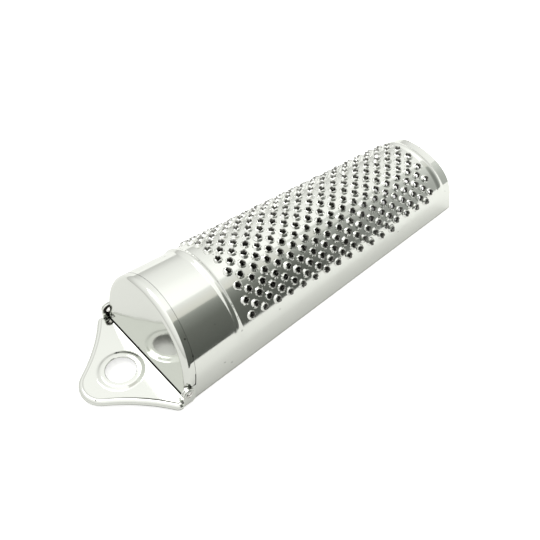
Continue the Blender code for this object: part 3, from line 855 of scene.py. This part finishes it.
flap_tin = shaded_store(pressed_tin)
flap = shape_object("flap_pressing", loft(rimmed(tab_edge), fill_first=True), flap_tin)
flap.data.materials.append(crease_shaded(pressed_tin))
edge_count = len(tab_edge(0.0)) - 1
# The crease strip and the rim's lowest strip get the painted crease shade.
for face in flap.data.polygons:
    band = (face.index - 1) // edge_count
    face.material_index = int(face.index > 0 and band in SHADED_RIM_BANDS)
face_away(flap, (-MIDDLE, 0, -LENGTH))
thicken(flap)
tray = shape_object("tray", loft(rimmed(tray_edge), fill_first=True), pressed_tin)
face_away(tray, (-MIDDLE, 0, -LENGTH))
thicken(tray)
helpers = [tray]
rim_bottom = PLATE_TOP - RIM_DEPTH
behind = HINGE_X + EYE_RADIUS
for side in (1, -1):
    ear = [(TAB_BACK - 2 * SHEET, rim_bottom), (behind - EYE_RADIUS / 2, rim_bottom)]
    ear += [(behind, rim_bottom + EYE_RADIUS / 2)]
    ear += [
        (HINGE_X + EYE_RADIUS * cos(a), HINGE_Z + EYE_RADIUS * sin(a))
        for a in np.radians(range(0, 181, 10))
    ]
    ear += [(HINGE_X - EYE_RADIUS, PLATE_TOP - RIM_BEND / 2)]
    ear += [(TAB_BACK - 2 * SHEET, PLATE_TOP - RIM_BEND)]
    flat = [Vector(p) for p in ear + ring_of(HINGE_X, HINGE_Z, EYE_HOLE, 28)]
    hole = list(range(len(ear), len(flat)))
    found = delaunay_2d_cdt(flat, [], [list(range(len(ear))), hole], 1, 1e-7)
    kept = [f for f, loops in zip(found[2], found[5]) if set(loops) == {0}]
    shape = bmesh.new()
    y = side * (STORE_RADIUS + EAR_GAP)
    verts = [shape.verts.new((p.x - MIDDLE, y, p.y)) for p in found[0]]
    for f in kept:
        shape.faces.new([verts[i] for i in f])
    plate = bmesh.ops.extrude_face_region(shape, geom=shape.faces[:])
    moved = [v for v in plate["geom"] if isinstance(v, bmesh.types.BMVert)]
    bmesh.ops.translate(shape, verts=moved, vec=(0, side * SHEET, 0))
    bmesh.ops.recalc_face_normals(shape, faces=shape.faces)
    helpers.append(shape_object("ear", shape, pressed_tin))
foot = RING_RADIUS - SHEET / 2
shape = bmesh.new()
bmesh.ops.create_cone(
    shape, cap_ends=True, segments=96, radius1=foot, radius2=foot, depth=0.009,
    matrix=Matrix.Translation((HOLE_X, 0, PLATE_TOP)),
)
gap = shape_object("hole", shape, pressed_tin)
rise = [
    (foot - RING_SLOPE * t, PLATE_TOP + RING_RISE * float(smooth(t))) for t in np.linspace(0, 1, 9)
]
top = [(HOLE_RADIUS + HOLE_ROUNDING, rise[-1][1]), (HOLE_RADIUS, rise[-1][1] - HOLE_ROUNDING)]
under = [(r, h - SHEET) for r, h in reversed(rise)]
raised = turned(
    "raised ring",
    [(RING_RADIUS, PLATE_TOP)] + rise + top + [(HOLE_RADIUS, under[0][1])] + under
    + [(RING_RADIUS, PLATE_TOP - SHEET)],
    pressed_tin, 96, (HOLE_X, 0, 0),
)
helpers += [gap, raised]
for part in helpers[:3]:
    cut(flap, "UNION", part)
cut(flap, "DIFFERENCE", gap)
cut(flap, "UNION", raised)
settle(flap)
for helper in helpers:
    bpy.data.objects.remove(helper)
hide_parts("store_flap")
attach(flap, "flap")

# Hinge eyelets
# Hollow steel rivets, flanged over at both ends, that the flap swings on. The left one is painted
# near black as shade, and the right one is bright.
SEATED = 0.00004
inner = STORE_RADIUS - SHEET - SEATED
outer = STORE_RADIUS + EAR_GAP + SHEET + SEATED
shank, bore, lip, worn = 0.00125, 0.00095, 0.00022, 0.0001
inner_flange, outer_flange = 0.0018, 0.0015
worn_bore = tin(
    "worn bore", (0.88, 0.87, 0.85), (0.20, 0.20, 0.20),
    wave_height=0.3, line_height=0.3, roughness_low=0.30, roughness_high=0.45, specks=0.3,
)
# Painted shade: the left eyelet's near-black colour stands for the dark ring it shows.
for side, word, colour in ((1, "left", (0.03, 0.028, 0.026)), (-1, "right", (0.60, 0.61, 0.58))):
    eyelet_steel = tin(
        f"eyelet steel {word}", colour, (0.03, 0.03, 0.03),
        wave_height=0.4, line_height=0.2, roughness_low=0.18, roughness_high=0.34, specks=0.5,
    )
    curl = np.radians(range(0, 91, 15))
    profile = [(shank + (outer_flange - shank) * cos(a), outer + lip * sin(a)) for a in curl]
    profile += [(bore + worn, outer + lip), (bore, outer + lip - worn)]
    profile += [(bore, inner - lip + worn), (bore + worn, inner - lip)]
    profile += [(shank + (inner_flange - shank) * cos(a), inner - lip * sin(a)) for a in curl[::-1]]
    profile += [(shank, inner), (shank, outer)]
    eyelet = turned(f"eyelet_{word}", profile, eyelet_steel, 40)
    eyelet.data.materials.append(worn_bore)
    for face in eyelet.data.polygons:
        inmost = max(hypot(*eyelet.data.vertices[i].co.xy) for i in face.vertices)
        face.material_index = int(inmost < bore + worn / 2)
    place = Matrix.Translation((HINGE_X - MIDDLE, 0, HINGE_Z))
    eyelet.data.transform(place @ Matrix.Rotation(-side * pi / 2, 4, "X"))
    settle(eyelet, 50)
    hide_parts(f"hinge_eyelet_{word}")
    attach(eyelet, "body")

# White table
# The table is lit as plain paper, and shows white to the camera outside the grater's shadow.
# Under the rasp it is painted dark as shade, which is what shows through the burrs, and the painted
# shade pales at the open end.
SHADED_IN = 0.0012
OPEN_END = 0.003
OPEN_START = 0.030
PAPER_GLOW = 0.60
shape = bmesh.new()
bmesh.ops.create_grid(shape, x_segments=1, y_segments=1, size=4.0)
paper = bpy.data.materials.new("white paper")
paper.use_nodes = True
nodes, link = paper.node_tree.nodes, paper.node_tree.links.new
nodes.clear()


def figure(operation, *values):
    return figured(paper.node_tree, operation, *values)


spread = object_place(paper.node_tree)
shaded_half = STORE_RADIUS + TAPER * MIDDLE - SHADED_IN
half_width = figure("MULTIPLY_ADD", spread["X"], TAPER, shaded_half)
under = figure("LESS_THAN", figure("ABSOLUTE", spread["Y"]), half_width)
under = figure("MULTIPLY", under, figure("GREATER_THAN", spread["X"], TRAY_END - MIDDLE))
far_end = LENGTH - MIDDLE
opening = ranged(
    paper.node_tree, spread["X"], far_end - OPEN_END, far_end - OPEN_START, kind="SMOOTHSTEP",
)
bare = figure("SUBTRACT", 1.0, figure("MULTIPLY", under, opening))
# Painted shade: the paper is darker towards the store end and paler towards the far end.
along = ranged(paper.node_tree, spread["X"], -0.060, 0.055)
plain = mixed(paper.node_tree, along, (0.745, 0.745, 0.735), (0.90, 0.90, 0.89))
shade = mixed(paper.node_tree, bare, (0.10, 0.10, 0.09), plain)
matt = nodes.new("ShaderNodeBsdfDiffuse")
link(shade, matt.inputs["Color"])
glow = nodes.new("ShaderNodeEmission")
glow.inputs["Color"].default_value = (1, 1, 1, 1)
rays = nodes.new("ShaderNodeLightPath")
seen = figure("MULTIPLY", rays.outputs["Is Camera Ray"], PAPER_GLOW)
link(figure("MULTIPLY", seen, bare), glow.inputs["Strength"])
both = nodes.new("ShaderNodeAddShader")
link(matt.outputs[0], both.inputs[0])
link(glow.outputs[0], both.inputs[1])
out = nodes.new("ShaderNodeOutputMaterial")
link(both.outputs[0], out.inputs[0])
table = shape_object("table", shape, paper)
table.data.transform(Matrix.Translation((0, 0, cad_box[0][2] - 0.0001)))

# Dark card
# A grey card stands along the near side, out of the camera's sight, and shows in the tin.
CARD_NEAR = -0.055
CARD_FAR = 0.253
CARD_Y = -0.060
CARD_HEIGHT = 0.300
shape = bmesh.new()
corners = [(CARD_NEAR, 0.0), (CARD_FAR, 0.0), (CARD_FAR, CARD_HEIGHT), (CARD_NEAR, CARD_HEIGHT)]
shape.faces.new([shape.verts.new((x, CARD_Y, z)) for x, z in corners])
grey = bpy.data.materials.new("grey card")
grey.use_nodes = True
nodes, link = grey.node_tree.nodes, grey.node_tree.links.new
nodes.clear()
glow = nodes.new("ShaderNodeEmission")
on_card = object_place(grey.node_tree)
tone = nodes.new("ShaderNodeValToRGB")
stops = tone.color_ramp.elements
stops[0].position, stops[0].color = 0.0, (0.105, 0.112, 0.100, 1)
stops[1].position, stops[1].color = 1.0, (1.20, 1.20, 1.18, 1)
for at, colour in (
    (0.16, (0.160, 0.168, 0.150, 1)), (0.30, (0.33, 0.345, 0.315, 1)),
    (0.340, (0.40, 0.415, 0.385, 1)), (0.348, (0.86, 0.85, 0.78, 1)), (0.60, (0.98, 0.97, 0.93, 1)),
):
    stops.new(at).color = colour
link(figured(grey.node_tree, "DIVIDE", on_card["Z"], CARD_HEIGHT), tone.inputs[0])
paler = ranged(grey.node_tree, on_card["X"], 0.035, 0.150, 0.0, 0.85)
faded = mixed(grey.node_tree, paler, tone.outputs[0], (0.86, 0.88, 0.84))
link(faded, glow.inputs["Color"])
out = nodes.new("ShaderNodeOutputMaterial")
link(glow.outputs[0], out.inputs[0])
card = shape_object("dark card", shape, grey)
card.visible_camera = False
card.visible_diffuse = False
card.visible_shadow = False
card.visible_transmission = False

# Light tent
# White above, a little greyer towards the horizon, and plain white where the camera looks past.
world = bpy.data.worlds.new("light tent")
bpy.context.scene.world = world
world.use_nodes = True
nodes, link = world.node_tree.nodes, world.node_tree.links.new
nodes.clear()
spot = nodes.new("ShaderNodeTexCoord")
height = nodes.new("ShaderNodeSeparateXYZ")
link(spot.outputs["Generated"], height.inputs[0])
ramp = nodes.new("ShaderNodeValToRGB")
ramp.color_ramp.elements[0].position = 0.0
ramp.color_ramp.elements[0].color = (0.70, 0.70, 0.675, 1)
ramp.color_ramp.elements[1].position = 0.95
ramp.color_ramp.elements[1].color = (1.50, 1.50, 1.47, 1)
for at, level in ((0.35, 1.06), (0.75, 1.24)):
    ramp.color_ramp.elements.new(at).color = (level, level, level * 0.975, 1)
link(height.outputs["Z"], ramp.inputs[0])
tent = nodes.new("ShaderNodeBackground")
link(ramp.outputs[0], tent.inputs["Color"])
plain = nodes.new("ShaderNodeBackground")
plain.inputs["Color"].default_value = (1, 1, 1, 1)
rays = nodes.new("ShaderNodeLightPath")
choose = nodes.new("ShaderNodeMixShader")
link(rays.outputs["Is Camera Ray"], choose.inputs[0])
link(tent.outputs[0], choose.inputs[1])
link(plain.outputs[0], choose.inputs[2])
out = nodes.new("ShaderNodeOutputWorld")
link(choose.outputs[0], out.inputs[0])
softbox = bpy.data.lights.new("softbox", "AREA")
softbox.shape = "RECTANGLE"
softbox.size = 0.34
softbox.size_y = 0.34
softbox.energy = 1.1
lamp = bpy.data.objects.new("softbox", softbox)
lamp.location = (-0.15, 0.30, 0.70)
aim = Vector((0, 0, 0)) - lamp.location
lamp.rotation_euler = aim.to_track_quat("-Z", "Y").to_euler()
bpy.context.collection.objects.link(lamp)
bpy.context.scene.view_settings.view_transform = "Standard"

# Camera
# Solved from the photograph: 47 degrees above the table, from the store end's near side.
lens = bpy.data.cameras.new("camera")
lens.sensor_width = 36.0
lens.lens = 53.545
lens.clip_start = 0.01
camera = bpy.data.objects.new("camera", lens)
turn, rise_angle, away = radians(-40.46), radians(46.79), 0.24336
back = Vector((sin(turn) * cos(rise_angle), -cos(turn) * cos(rise_angle), sin(rise_angle)))
camera.location = Vector((0.04482 - MIDDLE, -0.00308, 0.010)) + back * away
camera.rotation_euler = back.to_track_quat("Z", "Y").to_euler()
bpy.context.collection.objects.link(camera)
bpy.context.scene.camera = camera

bpy.context.view_layer.update()
